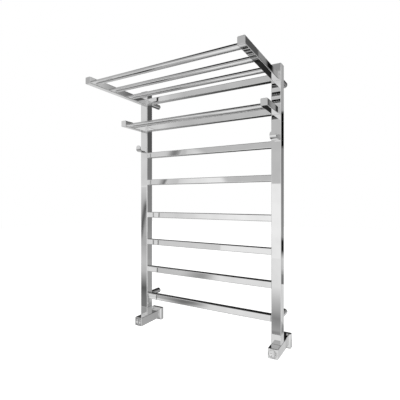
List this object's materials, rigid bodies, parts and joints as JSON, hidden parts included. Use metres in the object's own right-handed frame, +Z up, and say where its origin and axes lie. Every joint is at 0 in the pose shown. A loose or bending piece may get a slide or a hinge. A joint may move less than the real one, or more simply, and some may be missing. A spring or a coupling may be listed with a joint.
{
  "type": "towel warmer rack",
  "caption": "Wall-hung chromed ladder towel rail in square tube with a barred shelf on top, a short lower shelf, robe hooks and quarter-turn supply valves at its feet.",
  "frame": {"origin": "centre of the four bracket screws, on the wall plane", "axes": "+X to the right as seen from the front, +Y into the wall, +Z up; the front faces -Y"},
  "size_m": [0.546, 0.366, 0.867],
  "materials": {
    "chrome": "polished chrome plate",
    "steel": "turned, unplated",
    "brass": "turned brass",
    "rubber": "matte sealing rubber",
    "white_plastic": "smooth white seat plastic"
  },
  "bodies": {
    "rail": {"left_upright": "chrome", "right_upright": "chrome", "upright_caps": "chrome", "bottom_bushes": "steel", "rung_1": "chrome", "rung_2": "chrome", "rung_3": "chrome", "rung_4": "chrome", "rung_5": "chrome", "rung_6": "chrome", "rung_7": "chrome", "rung_8": "chrome", "top_shelf_left_arm": "chrome", "top_shelf_right_arm": "chrome", "top_shelf_plugs": "chrome", "lower_shelf_left_arm": "chrome", "lower_shelf_right_arm": "chrome", "lower_shelf_plugs": "chrome", "top_shelf_rear_bar": "chrome", "top_shelf_middle_bar": "chrome", "top_shelf_front_bar": "chrome", "lower_shelf_bar": "chrome", "left_hook": "chrome", "right_hook": "chrome", "hook_bosses": "steel", "hook_studs": "steel", "upper_left_bracket_post": "chrome", "upper_right_bracket_post": "chrome", "lower_left_bracket_post": "chrome", "lower_right_bracket_post": "chrome", "wall_spigots": "steel", "post_bosses": "steel", "post_studs": "steel", "grub_screws": "steel", "left_valve_body": "chrome", "left_neck_sleeve": "chrome", "left_tail_nipple": "brass", "right_valve_body": "chrome", "right_neck_sleeve": "chrome", "right_tail_nipple": "brass", "union_nipples": "brass", "union_seals": "rubber", "gland_nuts": "brass", "packing_rings": "rubber", "outlet_seats": "white_plastic", "inlet_seats": "white_plastic", "bleed_bush": "steel", "bleed_plug": "brass"},
    "left_valve_spindle_set": {"left_knob": "chrome", "left_spindle": "brass", "left_valve_ball": "chrome"},
    "left_cover_body": {"left_wall_cover": "chrome"},
    "right_valve_spindle_set": {"right_knob": "chrome", "right_spindle": "brass", "right_valve_ball": "chrome"},
    "right_cover_body": {"right_wall_cover": "chrome"},
    "bleed_screw_body": {"bleed_screw": "brass"}
  },
  "joints": [
    {"name": "left_valve_turn", "type": "hinge", "parent": "rail", "child": "left_valve_spindle_set", "pos_m": [-0.25, -0.074, -0.447], "axis": [0, 1, 0], "range_deg": [0, 90]},
    {"name": "left_cover_slide", "type": "slide", "parent": "rail", "child": "left_cover_body", "axis": [0, -1, 0], "range_m": [0, 0.041]},
    {"name": "right_valve_turn", "type": "hinge", "parent": "rail", "child": "right_valve_spindle_set", "pos_m": [0.25, -0.074, -0.447], "axis": [0, 1, 0], "range_deg": [0, 90]},
    {"name": "right_cover_slide", "type": "slide", "parent": "rail", "child": "right_cover_body", "axis": [0, -1, 0], "range_m": [0, 0.041]},
    {"name": "bleed_screw_turn", "type": "hinge", "parent": "rail", "child": "bleed_screw_body", "pos_m": [0.25, -0.059, 0.384], "axis": [0, 1, 0], "range_deg": [0, 360]}
  ]
}
